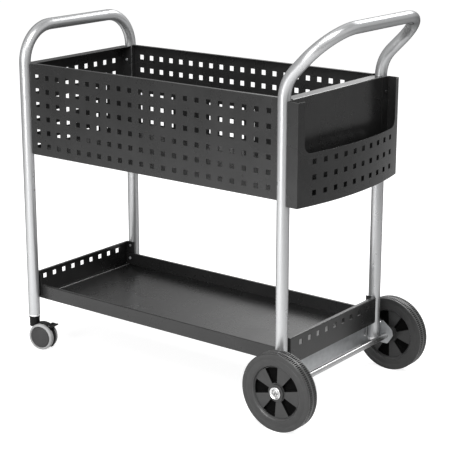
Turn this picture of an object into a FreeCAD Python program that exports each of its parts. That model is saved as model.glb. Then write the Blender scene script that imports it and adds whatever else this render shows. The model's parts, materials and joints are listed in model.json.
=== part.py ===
import FreeCAD, Part
import math
import os
import re
import Sketcher

# Mail cart: a frame of two bent tubes carries a perforated basket, a bowed document pocket and a
# low shelf, on two plain rear wheels and two braked twin-wheel casters.
# Millimetres. +X points to the push handle, -Y is the left side, +Z is up and the floor is Z = 0.

doc = FreeCAD.newDocument("mail_cart")
sheet = doc.addObject("Spreadsheet::Sheet", "dims")

DRIVING = [
    # bent tube frames
    ("tube_d", 31.75), ("tube_wall", 1.6), ("post_span", 866), ("post_half", 218),
    ("bend_r", 100), ("front_low", 96), ("front_bar", 920), ("rear_low", 93),
    ("handle_reach", 130), ("handle_bar", 992),
    # folded sheet
    ("sheet_t", 1.5), ("fold_r", 2), ("end_fold", 3), ("fit_gap", 0.3), ("post_gap", 2.1),
    ("hole_size", 13.5),
    # basket
    ("basket_low", 571), ("basket_top", 824), ("end_top", 821), ("rim_flange", 12),
    ("edge_flange", 16), ("side_cols", 22), ("side_rows", 6), ("pitch_x", 37), ("pitch_z", 38),
    ("side_row_low", 599), ("front_cols", 9), ("front_rows", 6), ("front_row_low", 590),
    ("front_pitch", 40), ("pitch_y", 38.6),
    # document pocket
    ("pocket_low", 562), ("pocket_top", 819.5), ("pocket_half", 228.5), ("pocket_back", 16.2),
    ("pocket_side", 48), ("pocket_bow", 28.4), ("pocket_lug", 30), ("pocket_lip", 30),
    ("window_half", 207), ("window_low", 693.3), ("window_r", 22), ("pocket_cols", 10),
    ("pocket_rows", 3), ("pocket_row_low", 594), ("pocket_pitch", 38.7),
    # shelf
    ("shelf_low", 145), ("shelf_side_top", 184), ("shelf_lip", 8), ("shelf_end_top", 218),
    ("shelf_flange", 10), ("shelf_corner", 8), ("shelf_row", 197), ("shelf_cols", 9),
    ("shelf_pitch", 39), ("foot_w", 14), ("bead_w", 1), ("bead_deep", 0.5),
    # rear axle and wheels
    ("axle_d", 16), ("axle_back", 28.7), ("run_gap", 0.05), ("bracket_t", 2.5),
    ("bracket_low", 80), ("bracket_top", 144), ("wheel_d", 203.2), ("wheel_w", 36),
    ("wheel_in", 30.3), ("tyre_in", 67), ("lip_r", 4), ("hub_sink", 6.5), ("hub_r", 22),
    ("web_t", 3), ("spoke_half", 17), ("spoke_turn", 33), ("shoulder_r", 2),
    ("band_edge", 3), ("band_w", 12.5), ("band_deep", 0.5), ("cap_r", 16), ("relief_w", 3),
    ("relief_y", 208.5), ("relief_low", 94),
    # twin-wheel casters
    ("caster_d", 76), ("caster_trail", 28), ("caster_turn", 11), ("caster_in", 4),
    ("caster_w", 15.6), ("tread_in", 31), ("web_half", 3.6), ("web_clip", 9), ("hood_t", 2.2),
    ("hood_half", 9.5), ("hood_gap", 0.7), ("hood_rear", 38), ("hood_front", 140),
    ("neck_r", 14.5), ("neck_low", 66), ("neck_top", 91.5), ("stem_r", 5.5), ("stem_top", 140),
    ("pin_r", 3), ("pedal_x", 26), ("pedal_z", 35.5), ("pedal_half", 12), ("pedal_pin_r", 2),
]
DERIVED = [
    ("tube_r", "=tube_d / 2"),
    ("front_x", "=-(post_span + handle_reach) / 2"),
    ("rear_x", "=(post_span - handle_reach) / 2"),
    ("side_x", "=tube_r + post_gap"),
    ("end_half", "=post_half - tube_r - fit_gap"),
    ("shelf_half", "=end_half - sheet_t - fit_gap"),
    ("bow_r", "=(pocket_half * pocket_half + pocket_bow * pocket_bow) / (2 * pocket_bow)"),
    ("bow_x", "=rear_x + pocket_side + pocket_bow - bow_r"),
    ("axle_x", "=rear_x + axle_back"),
    ("wheel_r", "=wheel_d / 2"),
    ("caster_r", "=caster_d / 2"),
    ("hood_in", "=caster_r + hood_gap"),
    ("hood_out", "=hood_in + hood_t"),
    ("spoke_out", "=tyre_in - 1.5"),
    ("ear_y", "=post_half + tube_r + fit_gap / 3"),
]

aliases = []
for alias, value in DRIVING + DERIVED:
    row = len(aliases) + 1
    sheet.set("A%d" % row, alias)
    sheet.set("B%d" % row, str(value))
    sheet.setAlias("B%d" % row, alias)
    aliases.append(alias)
doc.recompute()


def bind(text):
    """Expression text with the sheet's name put before each of its aliases."""
    def prefix(found):
        word = found.group(0)
        return "dims." + word if word in aliases else word
    return re.sub(r"[a-z][a-z_]*", prefix, text)


def num(text):
    """Present value of an expression over the sheet."""
    value = sheet.evalExpression(bind(text))
    return float(getattr(value, "Value", value))


def new_body(label, x="0", y="0", z="0", turn=0, yaw=0):
    """Body at a bound position, turned about X and then about Z, in degrees."""
    body = doc.addObject("PartDesign::Body", label)
    body.Label = label
    body.Placement.Rotation = (FreeCAD.Rotation(FreeCAD.Vector(0, 0, 1), yaw)
                               * FreeCAD.Rotation(FreeCAD.Vector(1, 0, 0), turn))
    for axis, text in zip("xyz", (x, y, z)):
        body.setExpression("Placement.Base." + axis, bind(text))
    return body


def new_sketch(body, plane, lift="0"):
    """Sketch on one of the body's own planes, lifted along that plane's normal."""
    sketch = body.newObject("Sketcher::SketchObject", body.Name + "_sketch")
    support = [f for f in body.Origin.OriginFeatures if f.Role == plane][0]
    sketch.AttachmentSupport = [(support, "")]
    sketch.MapMode = "FlatFace"
    sketch.setExpression("AttachmentOffset.Base.z", bind(lift))
    return sketch


def outline(sketch, points, arcs=None):
    """Closed outline through bound points; arcs maps a side's number to (radius, middle point)."""
    arcs = arcs or {}
    spots = [FreeCAD.Vector(num(x), num(y), 0) for x, y in points]
    count = len(spots)
    first = sketch.GeometryCount
    ends = []
    for i, start in enumerate(spots):
        stop = spots[(i + 1) % count]
        if i in arcs:
            middle = FreeCAD.Vector(num(arcs[i][1][0]), num(arcs[i][1][1]), 0)
            centre = Part.Arc(start, middle, stop).toShape().Curve.Center
            forward = (middle - start).cross(stop - middle).z > 0
            first_end, last_end = (start, stop) if forward else (stop, start)
            angles = [math.atan2(p.y - centre.y, p.x - centre.x) for p in (first_end, last_end)]
            ring = Part.Circle(centre, FreeCAD.Vector(0, 0, 1), start.distanceToPoint(centre))
            sketch.addGeometry(Part.ArcOfCircle(ring, *angles))
            ends.append((1, 2) if forward else (2, 1))
        else:
            sketch.addGeometry(Part.LineSegment(start, stop))
            ends.append((1, 2))
    for i in range(count):
        after = (i + 1) % count
        joint = Sketcher.Constraint("Coincident", first + i, ends[i][1], first + after, ends[after][0])
        sketch.addConstraint(joint)
    for i, point in enumerate(points):
        for kind, text in zip(("DistanceX", "DistanceY"), point):
            rule = Sketcher.Constraint(kind, -1, 1, first + i, ends[i][0], num(text))
            sketch.setExpression("Constraints[%d]" % sketch.addConstraint(rule), bind(text))
    for i, (radius, middle) in arcs.items():
        rule = Sketcher.Constraint("Radius", first + i, num(radius))
        sketch.setExpression("Constraints[%d]" % sketch.addConstraint(rule), bind(radius))
    return sketch


def box_points(x, y, dx, dy):
    """Corner points of a rectangle given by one corner and its sides."""
    far_x = "(%s) + (%s)" % (x, dx)
    far_y = "(%s) + (%s)" % (y, dy)
    return [(x, y), (far_x, y), (far_x, far_y), (x, far_y)]


def circle(sketch, x, y, radius):
    """Circle with a bound centre and radius."""
    centre = FreeCAD.Vector(num(x), num(y), 0)
    index = sketch.addGeometry(Part.Circle(centre, FreeCAD.Vector(0, 0, 1), num(radius)))
    rules = [
        (Sketcher.Constraint("DistanceX", -1, 1, index, 3, num(x)), x),
        (Sketcher.Constraint("DistanceY", -1, 1, index, 3, num(y)), y),
        (Sketcher.Constraint("Radius", index, num(radius)), radius),
    ]
    for rule, text in rules:
        sketch.setExpression("Constraints[%d]" % sketch.addConstraint(rule), bind(text))
    return sketch


def pad(body, sketch, length, both=False):
    """Pad along the sketch normal, or half to each side of it."""
    feature = body.newObject("PartDesign::Pad", body.Name + "_pad")
    feature.Profile = sketch
    feature.setExpression("Length", bind(length))
    if both:
        feature.Midplane = True
    return feature


def box(body, x, y, z, dx, dy, dz):
    """Rectangular block in the body, given by its low corner and sides."""
    return pad(body, outline(new_sketch(body, "XY_Plane", z), box_points(x, y, dx, dy)), dz)


def pocket(body, sketch, length, both=False):
    """Cut against the sketch normal, or half to each side of it."""
    feature = body.newObject("PartDesign::Pocket", body.Name + "_pocket")
    feature.Profile = sketch
    feature.setExpression("Length", bind(length))
    if both:
        feature.Midplane = True
    return feature


def hole_grid(body, plane, lift, depth, low_a, low_b, cols, rows, pitch_a, pitch_b):
    """Grid of square holes; low_a and low_b are the centre of the first hole."""
    corner_a = "(%s) - hole_size / 2" % low_a
    corner_b = "(%s) - hole_size / 2" % low_b
    sketch = new_sketch(body, plane, lift)
    outline(sketch, box_points(corner_a, corner_b, "hole_size", "hole_size"))
    cut = pocket(body, sketch, depth)
    doc.recompute()
    grid = body.newObject("PartDesign::LinearPattern", body.Name + "_grid")
    grid.Originals = [cut]
    grid.Direction = (sketch, ["H_Axis"])
    grid.setExpression("Length", bind("(%s - 1) * %s" % (cols, pitch_a)))
    grid.setExpression("Occurrences", bind(cols))
    if rows:
        grid.Direction2 = (sketch, ["V_Axis"])
        grid.setExpression("Length2", bind("(%s - 1) * %s" % (rows, pitch_b)))
        grid.setExpression("Occurrences2", bind(rows))
    body.Tip = grid
    return grid


def around(body, cut, count):
    """Repeat a cut about the body's Z axis."""
    doc.recompute()
    ring = body.newObject("PartDesign::PolarPattern", body.Name + "_ring")
    axis = [f for f in body.Origin.OriginFeatures if f.Role == "Z_Axis"][0]
    ring.Originals = [cut]
    ring.Axis = (axis, [""])
    ring.Angle = 360
    ring.Occurrences = count
    body.Tip = ring
    return ring


def turned(body, points, arcs=None):
    """Solid turned about the body's Z axis from (radius, height) points."""
    sketch = outline(new_sketch(body, "XZ_Plane"), points, arcs)
    feature = body.newObject("PartDesign::Revolution", body.Name + "_turned")
    feature.Profile = sketch
    feature.ReferenceAxis = (sketch, ["V_Axis"])
    feature.Angle = 360
    return feature


def round_edges(body, radius, chosen):
    """Fillet the tip's edges whose middle point passes the test."""
    doc.recompute()
    tip = body.Tip
    names = []
    for i, edge in enumerate(tip.Shape.Edges):
        middle = edge.valueAt((edge.FirstParameter + edge.LastParameter) / 2)
        if chosen(edge, middle):
            names.append("Edge%d" % (i + 1))
    fillet = body.newObject("PartDesign::Fillet", body.Name + "_fillet")
    fillet.Base = (tip, names)
    fillet.setExpression("Radius", bind(radius))
    return fillet


def straight_along(edge, axis):
    """True for a straight edge parallel to the axis given by its number."""
    if edge.Curve.TypeId != "Part::GeomLine":
        return False
    return abs(edge.Curve.Direction[axis]) > 0.999


def bent_path(points, radius):
    """Wire along straight runs with a bend of one radius at each inner point."""
    edges = []
    start = points[0]
    for before, corner, after in zip(points, points[1:], points[2:]):
        run_in = (corner - before).normalize()
        run_out = (after - corner).normalize()
        turn = run_in.getAngle(run_out)
        reach = radius * math.tan(turn / 2)
        entry = corner - run_in * reach
        leave = corner + run_out * reach
        inward = (run_out - run_in).normalize()
        centre = corner + inward * (radius / math.cos(turn / 2))
        edges.append(Part.makeLine(start, entry))
        edges.append(Part.Arc(entry, centre - inward * radius, leave).toShape())
        start = leave
    edges.append(Part.makeLine(start, points[-1]))
    return Part.Wire(edges)


def bent_tube(label, points):
    """Hollow round tube swept along a bent path that starts upward."""
    path = doc.addObject("Part::Feature", label + "_path")
    path.Shape = bent_path([FreeCAD.Vector(*[num(t) for t in p]) for p in points], num("bend_r"))
    runs = ["Edge%d" % (i + 1) for i in range(len(path.Shape.Edges))]
    sweeps = []
    for name, radius in (("outer", "tube_r"), ("inner", "tube_r - tube_wall")):
        ring = doc.addObject("Part::Circle", label + "_" + name + "_ring")
        ring.setExpression("Radius", bind(radius))
        for axis, text in zip("xyz", points[0]):
            ring.setExpression("Placement.Base." + axis, bind(text))
        sweep = doc.addObject("Part::Sweep", label + "_" + name)
        sweep.Sections = [ring]
        sweep.Spine = (path, runs)
        sweep.Solid = True
        sweep.Frenet = True
        sweeps.append(sweep)
    tube = doc.addObject("Part::Cut", label)
    tube.Label = label
    tube.Base, tube.Tool = sweeps
    return tube


def group(label, source, spots):
    """Separate copies of one solid; each spot is a point and the way the solid's +Z points."""
    copies = []
    for point, way in spots:
        turn = FreeCAD.Rotation(FreeCAD.Vector(0, 0, 1), FreeCAD.Vector(*way))
        shape = source.copy()
        shape.Placement = FreeCAD.Placement(FreeCAD.Vector(*[num(t) for t in point]), turn)
        copies.append(shape)
    feature = doc.addObject("Part::Feature", label)
    feature.Label = label
    feature.Shape = Part.makeCompound(copies)
    return feature


SIDES = (("left", -1), ("right", 1))
nodes = []

# The two tube frames. The rear posts lean back at 45 degrees above the basket.
nodes.append(bent_tube("front_frame_tube", [
    ("front_x", "-post_half", "front_low"), ("front_x", "-post_half", "front_bar"),
    ("front_x", "post_half", "front_bar"), ("front_x", "post_half", "front_low")]))
knee = "handle_bar - handle_reach"
nodes.append(bent_tube("rear_frame_tube", [
    ("rear_x", "-post_half", "rear_low"), ("rear_x", "-post_half", knee),
    ("rear_x + handle_reach", "-post_half", "handle_bar"),
    ("rear_x + handle_reach", "post_half", "handle_bar"),
    ("rear_x", "post_half", knee), ("rear_x", "post_half", "rear_low")]))


def basket_side(label, sign):
    """Perforated side with a folded rim, foot and upright edges."""
    body = new_body(label)
    start = "front_x + side_x"
    run = "post_span - 2 * side_x"
    tall = "basket_top - basket_low"
    face = "%d * post_half - sheet_t / 2" % sign

    def inward(width):
        return face if sign < 0 else "post_half + sheet_t / 2 - " + width

    box(body, start, face, "basket_low", run, "sheet_t", tall)
    box(body, start, inward("rim_flange"), "basket_top - sheet_t", run, "rim_flange", "sheet_t")
    box(body, start, inward("edge_flange"), "basket_low", run, "edge_flange", "sheet_t")
    box(body, start, inward("edge_flange"), "basket_low", "sheet_t", "edge_flange", tall)
    far = "rear_x - side_x - sheet_t"
    box(body, far, inward("edge_flange"), "basket_low", "sheet_t", "edge_flange", tall)
    outside = num("post_half + sheet_t / 2")
    ends = (num(start), num("rear_x - side_x"))
    levels = (num("basket_low"), num("basket_top"))

    def folded(edge, middle):
        if abs(abs(middle.y) - outside) > 0.01:
            return False
        along = straight_along(edge, 0) and min(abs(middle.z - z) for z in levels) < 0.01
        upright = straight_along(edge, 2) and min(abs(middle.x - x) for x in ends) < 0.01
        return along or upright

    round_edges(body, "fold_r", folded)
    first = "(front_x + rear_x) / 2 - (side_cols - 1) * pitch_x / 2"
    hole_grid(body, "XZ_Plane", "%d * post_half + sheet_t" % -sign, "2 * sheet_t", first,
              "side_row_low", "side_cols", "side_rows", "pitch_x", "pitch_z")
    return body


def end_panel(label, sign, low, top, rim, foot, foot_half):
    """Panel between two posts, flanged back along them; sign is -1 at the front end."""
    body = new_body(label)
    post = "front_x" if sign < 0 else "rear_x"
    tall = "(%s) - (%s)" % (top, low)
    outer = "%s - tube_r" % post if sign < 0 else "%s + tube_r - sheet_t" % post

    def inward(width):
        return outer if sign < 0 else "%s + tube_r - (%s)" % (post, width)

    box(body, outer, "-end_half", low, "sheet_t", "2 * end_half", tall)
    box(body, inward("tube_d"), "-end_half", low, "tube_d", "sheet_t", tall)
    box(body, inward("tube_d"), "end_half - sheet_t", low, "tube_d", "sheet_t", tall)
    box(body, inward(rim), "-end_half", "(%s) - sheet_t" % top, rim, "2 * end_half", "sheet_t")
    box(body, inward(foot), "-(%s)" % foot_half, low, foot, "2 * (%s)" % foot_half, "sheet_t")
    outside = num("%s + (%d) * tube_r" % (post, sign))

    def folded(edge, middle):
        if abs(middle.x - outside) > 0.01:
            return False
        along = straight_along(edge, 1) and abs(middle.z - num(top)) < 0.01
        upright = straight_along(edge, 2) and abs(abs(middle.y) - num("end_half")) < 0.01
        return along or upright

    round_edges(body, "end_fold", folded)
    return body


for side, sign in SIDES:
    nodes.append(basket_side("basket_side_" + side, sign))

basket_front = end_panel("basket_end_front", -1, "basket_low", "end_top", "tube_d", "edge_flange",
                         "end_half")
hole_grid(basket_front, "YZ_Plane", "front_x - tube_r + 2 * sheet_t", "4 * sheet_t",
          "-(front_cols - 1) * front_pitch / 2", "front_row_low", "front_cols", "front_rows",
          "front_pitch", "pitch_z")
nodes.append(basket_front)
nodes.append(end_panel("basket_end_rear", 1, "basket_low", "end_top", "tube_d", "edge_flange",
                       "end_half"))

# The basket floor is notched around the four posts.
floor_x = "tube_r - sheet_t - fit_gap"
floor_y = "end_half - sheet_t - fit_gap"
notch_x = "side_x + sheet_t + fit_gap"
notch_y = "post_half - sheet_t / 2 - fit_gap"
half = [("rear_x + " + floor_x, floor_y), ("rear_x - (%s)" % notch_x, floor_y),
        ("rear_x - (%s)" % notch_x, notch_y), ("front_x + " + notch_x, notch_y),
        ("front_x + " + notch_x, floor_y), ("front_x - (%s)" % floor_x, floor_y)]
other = [(x, "-(%s)" % y) for x, y in reversed(half)]
basket_floor = new_body("basket_floor")
floor_sketch = new_sketch(basket_floor, "XY_Plane", "basket_low + sheet_t")
pad(basket_floor, outline(floor_sketch, half + other), "sheet_t")
nodes.append(basket_floor)

# Document pocket: one sheet bowed between two folded sides, with lugs against the posts.
document_pocket = new_body("document_pocket")
back = "rear_x + pocket_back"
inner_half = "pocket_half - sheet_t"
inner_edge = "bow_x + sqrt((bow_r - sheet_t)^2 - (%s)^2)" % inner_half
lug = "pocket_half - pocket_lug"
front_edge = "rear_x + pocket_side"
wall_points = [
    (back, "-(%s)" % lug), (back, "-pocket_half"), (front_edge, "-pocket_half"),
    (front_edge, "pocket_half"), (back, "pocket_half"), (back, lug),
    (back + " + sheet_t", lug), (back + " + sheet_t", inner_half),
    (inner_edge, inner_half), (inner_edge, "-(%s)" % inner_half),
    (back + " + sheet_t", "-(%s)" % inner_half), (back + " + sheet_t", "-(%s)" % lug)]
wall_arcs = {2: ("bow_r", ("bow_x + bow_r", "0")),
             8: ("bow_r - sheet_t", ("bow_x + bow_r - sheet_t", "0"))}
wall_sketch = new_sketch(document_pocket, "XY_Plane", "pocket_low")
pad(document_pocket, outline(wall_sketch, wall_points, wall_arcs), "pocket_top - pocket_low")
base_points = [(back, "-pocket_half"), (front_edge, "-pocket_half"), (front_edge, "pocket_half"),
               (back, "pocket_half")]
base_sketch = new_sketch(document_pocket, "XY_Plane", "pocket_low")
pad(document_pocket, outline(base_sketch, base_points, {1: wall_arcs[2]}), "sheet_t")
box(document_pocket, back, "-(%s)" % lug, "pocket_low", "sheet_t", "2 * (%s)" % lug, "pocket_lip")
window_points = [
    ("-window_half", "pocket_top + 10"), ("-window_half", "window_low + window_r"),
    ("-window_half + window_r", "window_low"), ("window_half - window_r", "window_low"),
    ("window_half", "window_low + window_r"), ("window_half", "pocket_top + 10")]
diagonal = "window_r * (1 - sqrt(0.5))"
window_arcs = {1: ("window_r", ("-window_half + " + diagonal, "window_low + " + diagonal)),
               3: ("window_r", ("window_half - " + diagonal, "window_low + " + diagonal))}
pocket_front = "bow_x + bow_r + 5"
window_sketch = new_sketch(document_pocket, "YZ_Plane", pocket_front)
pocket(document_pocket, outline(window_sketch, window_points, window_arcs), "pocket_bow + 15")
hole_grid(document_pocket, "YZ_Plane", pocket_front, "pocket_bow + 15",
          "-(pocket_cols - 1) * pitch_y / 2", "pocket_row_low", "pocket_cols", "pocket_rows",
          "pitch_y", "pocket_pitch")
nodes.append(document_pocket)

# Shelf: a tray with lipped sides between two flanged ends.
shelf_tray = new_body("shelf_tray")
tray_start = "front_x - (%s)" % floor_x
tray_run = "post_span + 2 * (%s)" % floor_x
tray_tall = "shelf_side_top - shelf_low"
lip_z = "shelf_side_top - sheet_t"
box(shelf_tray, tray_start, "-shelf_half", "shelf_low", tray_run, "2 * shelf_half", "sheet_t")
box(shelf_tray, tray_start, "-shelf_half", "shelf_low", tray_run, "sheet_t", tray_tall)
box(shelf_tray, tray_start, "shelf_half - sheet_t", "shelf_low", tray_run, "sheet_t", tray_tall)
box(shelf_tray, tray_start, "-shelf_half", lip_z, tray_run, "shelf_lip", "sheet_t")
box(shelf_tray, tray_start, "shelf_half - shelf_lip", lip_z, tray_run, "shelf_lip", "sheet_t")


def tray_fold(edge, middle):
    """Long outside edges of the tray."""
    return straight_along(edge, 0) and abs(abs(middle.y) - num("shelf_half")) < 0.01


round_edges(shelf_tray, "fold_r", tray_fold)
shelf_foot = "shelf_low + sheet_t"
shelf_inner = "shelf_half - sheet_t"
for bead_x in ("front_x - tube_r + foot_w", "rear_x + tube_r - foot_w - bead_w"):
    bead = box_points(bead_x, "-(%s)" % shelf_inner, "bead_w", "2 * (%s)" % shelf_inner)
    pocket(shelf_tray, outline(new_sketch(shelf_tray, "XY_Plane", shelf_foot), bead), "bead_deep")
nodes.append(shelf_tray)


def corner_points(way, low):
    """Outline of what a rounded lower corner takes away, on the side that way gives."""
    edge = "(%d) * end_half" % way
    inset = "(%d) * (end_half - shelf_corner)" % way
    beyond = "(%d) * (end_half + 1)" % way
    raised = "%s + shelf_corner" % low
    diagonal = "shelf_corner * (1 - sqrt(0.5))"
    middle = ("(%d) * (end_half - %s)" % (way, diagonal), "%s + %s" % (low, diagonal))
    points = [(inset, low), (edge, raised), (beyond, raised), (beyond, low + " - 1"), (inset, low + " - 1")]
    return points, {0: ("shelf_corner", middle)}


for label, sign, post in (("shelf_end_front", -1, "front_x"), ("shelf_end_rear", 1, "rear_x")):
    panel = end_panel(label, sign, shelf_foot, "shelf_end_top", "shelf_flange", "foot_w",
                      shelf_inner + " - fit_gap")
    for way in (-1, 1):
        corner_sketch = new_sketch(panel, "YZ_Plane", post)
        pocket(panel, outline(corner_sketch, *corner_points(way, shelf_foot)), "2 * tube_d", both=True)
    lift = "%s + (%d) * tube_r + 2 * sheet_t" % (post, sign)
    hole_grid(panel, "YZ_Plane", lift, "4 * sheet_t", "-(shelf_cols - 1) * shelf_pitch / 2",
              "shelf_row", "shelf_cols", "", "shelf_pitch", "")
    nodes.append(panel)

# Axle bracket: one folded plate in front of the rear posts with an ear outside each of them.
axle_bracket = new_body("axle_bracket")
web_x = "rear_x - tube_r - fit_gap / 3 - bracket_t"
box(axle_bracket, web_x, "-(ear_y + bracket_t)", "bracket_low", "bracket_t",
    "2 * (ear_y + bracket_t)", "bracket_top - bracket_low")
ear_points = [(web_x, "bracket_low"), ("rear_x + 36", "bracket_low"), ("rear_x + 53", "bracket_low + 26"),
              ("rear_x + 49", "bracket_low + 42"), ("rear_x + 20", "bracket_top"),
              (web_x, "bracket_top")]
for lift in ("ear_y + bracket_t", "-ear_y"):
    ear_sketch = new_sketch(axle_bracket, "XZ_Plane", "(%s) - bracket_t" % lift)
    pad(axle_bracket, outline(ear_sketch, ear_points), "bracket_t")


def ear_corner(edge, middle):
    """Corners of the ears away from the posts, and the two folds."""
    corner = straight_along(edge, 1) and middle.x > num("rear_x + 15")
    fold = straight_along(edge, 2) and abs(middle.y) > num("ear_y + bracket_t") - 0.01
    return corner or (fold and middle.x < num("rear_x") - 15)


round_edges(axle_bracket, "2 * fold_r + 2", ear_corner)
hole_sketch = new_sketch(axle_bracket, "XZ_Plane")
circle(hole_sketch, "axle_x", "wheel_r", "axle_d / 2 + run_gap")
pocket(axle_bracket, hole_sketch, "4 * post_half", both=True)
for sign in (-1, 1):
    relief = box_points("%d * relief_y - relief_w / 2" % sign, "relief_low", "relief_w",
                        "bracket_top - relief_low + 5")
    relief_sketch = outline(new_sketch(axle_bracket, "YZ_Plane", web_x + " + 2 * bracket_t"), relief)
    pocket(axle_bracket, relief_sketch, "3 * bracket_t")
nodes.append(axle_bracket)

# Axle rod with chamfered ends that are centre-drilled.
axle_rod = new_body("axle_rod", "axle_x", "0", "wheel_r", -90)
axle_end = "(post_half + wheel_in + wheel_w + 1)"
axle_half = [("0", axle_end + " - 1.5"), ("2", axle_end), ("axle_d / 2 - 1.2", axle_end),
             ("axle_d / 2", axle_end + " - 1.2")]
turned(axle_rod, axle_half + [(x, "-(%s)" % z) for x, z in reversed(axle_half)])
nodes.append(axle_rod)

# Rear wheels, turned about Z with their outer face up, then laid over to either side.
bore = "axle_d / 2 + 2 * run_gap"
hub_low = "hub_sink"
hub_top = "wheel_w - hub_sink"
band = "wheel_r - band_deep"
tyre_half = [
    ("tyre_in", "lip_r"), ("tyre_in + lip_r", "0"), ("wheel_r - shoulder_r", "0"),
    ("wheel_r", "shoulder_r"), ("wheel_r", "band_edge"), (band, "band_edge"),
    (band, "band_edge + band_w"), ("wheel_r", "band_edge + band_w")]
tyre_points = tyre_half + [(r, "wheel_w - (%s)" % z) for r, z in reversed(tyre_half)]
lip_bulge = "lip_r * (1 - sqrt(0.5))"
shoulder_bulge = "shoulder_r * (1 - sqrt(0.5))"
lip_middle = ("tyre_in + " + lip_bulge, lip_bulge)
shoulder_middle = ("wheel_r - " + shoulder_bulge, shoulder_bulge)
tyre_arcs = {0: ("lip_r", lip_middle), 2: ("shoulder_r", shoulder_middle),
             12: ("shoulder_r", (shoulder_middle[0], "wheel_w - " + shoulder_bulge)),
             14: ("lip_r", (lip_middle[0], "wheel_w - " + lip_bulge))}
hub_points = [
    (bore, "2"), ("hub_r", "2"), ("hub_r", hub_low), ("tyre_in", hub_low),
    ("tyre_in", hub_top), ("hub_r", hub_top), ("hub_r", "wheel_w - 2"), (bore, "wheel_w - 2")]
cap_points = [
    ("axle_d / 2", "0"), ("cap_r", "0"), ("cap_r", "1.2"), ("cap_r - 2.5", "3.6"),
    ("cap_r - 5", "3.6"), ("cap_r - 6", "2.8"), ("axle_d / 2", "2.8")]
spacer_points = [("axle_d / 2 + run_gap", "0"), ("13", "0"),
                 ("13", "wheel_in + 2 - tube_r - bracket_t - 2 * fit_gap"),
                 ("axle_d / 2 + run_gap", "wheel_in + 2 - tube_r - bracket_t - 2 * fit_gap")]
wedge_in = "hub_r + 3"


def wedge_point(radius, side):
    """Point of the gap between two spokes: side is -1 or 1 at its edges and 0 at its middle."""
    angle = "(spoke_turn + (%d) * spoke_half) * 1deg" % side
    return "(%s) * cos(%s)" % (radius, angle), "(%s) * sin(%s)" % (radius, angle)


wedge_points = [wedge_point(radius, side) for radius, side in (
    (wedge_in, -1), ("spoke_out", -1), ("spoke_out", 1), (wedge_in, 1))]
wedge_arcs = {1: ("spoke_out", wedge_point("spoke_out", 0)), 3: (wedge_in, wedge_point(wedge_in, 0))}
for side, sign in SIDES:
    place = ("axle_x", "%d * (post_half + wheel_in)" % sign, "wheel_r", -90 * sign)
    tyre = new_body("rear_wheel_%s_tyre" % side, *place)
    turned(tyre, tyre_points, tyre_arcs)
    nodes.append(tyre)
    hub = new_body("rear_wheel_%s_hub" % side, *place)
    turned(hub, hub_points)
    deep = "(wheel_w - web_t) / 2 - hub_sink"
    for lift, flip in ((hub_top, False), (hub_low, True)):
        wedge = new_sketch(hub, "XY_Plane", lift)
        cut = pocket(hub, outline(wedge, wedge_points, wedge_arcs), deep)
        cut.Reversed = flip
        around(hub, cut, 5)
    nodes.append(hub)
    cap = new_body("rear_wheel_%s_cap" % side, "axle_x",
                   "%d * (post_half + wheel_in + wheel_w - 2 + fit_gap)" % sign, "wheel_r", -90 * sign)
    turned(cap, cap_points)
    nodes.append(cap)
spacer = new_body("spacer_pattern")
turned(spacer, spacer_points)

# Casters, drawn about the swivel axis and trailing toward the handle, a little turned.
wheel_mid = "caster_trail"
clip_run = "sqrt(hood_out^2 - (caster_r - web_clip)^2)"
web_points = [(wheel_mid + " - " + clip_run, "web_clip"), (wheel_mid + " + " + clip_run, "web_clip")]
web_arcs = {1: ("hood_out", (wheel_mid, "caster_r + hood_out"))}


def hood_point(radius, angle):
    """Point on the caster's hood, about the wheel axle."""
    return ("caster_trail + %s * cos((%s) * 1deg)" % (radius, angle),
            "caster_r + %s * sin((%s) * 1deg)" % (radius, angle))


hood_points = [hood_point(radius, angle) for radius, angle in (
    ("hood_in", "hood_front"), ("hood_in", "hood_rear"),
    ("hood_out", "hood_rear"), ("hood_out", "hood_front"))]
hood_middle = "(hood_rear + hood_front) / 2"
hood_arcs = {0: ("hood_in", hood_point("hood_in", hood_middle)),
             2: ("hood_out", hood_point("hood_out", hood_middle))}
tread_points = [
    ("tread_in", "0.5"), ("caster_r - 2", "0"), ("caster_r", "2"), ("caster_r", "caster_w - 5"),
    ("caster_r - 5", "caster_w - 0.5"), ("tread_in + 1", "caster_w - 0.5"), ("tread_in", "caster_w - 2")]
tread_arcs = {1: ("2", ("caster_r - 0.59", "0.59")),
              3: ("5.6", ("caster_r - 1.4", "caster_w - 1.9"))}
disc_rim = "tread_in - run_gap"
disc_points = [
    ("pin_r + run_gap", "0.5"), (disc_rim, "0.5"), (disc_rim, "caster_w - 3"),
    ("tread_in - 1.2", "caster_w - 1.2"), ("tread_in - 3", "caster_w"), ("tread_in - 6.5", "caster_w"),
    ("tread_in - 7.3", "caster_w - 0.8"),
    ("0", "caster_w + 0.4"), ("0", "caster_w - 1.4"), ("pin_r + run_gap", "caster_w - 1.4")]
pedal_points = [
    ("caster_trail + pedal_x + (%s)" % x, "caster_r + pedal_z + (%s)" % z)
    for x, z in (("-3", "-1"), ("4", "-4.5"), ("11", "-3"), ("18", "0.5"), ("18", "4"), ("10", "3"),
                 ("4", "4.5"), ("-3", "4"))]
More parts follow.
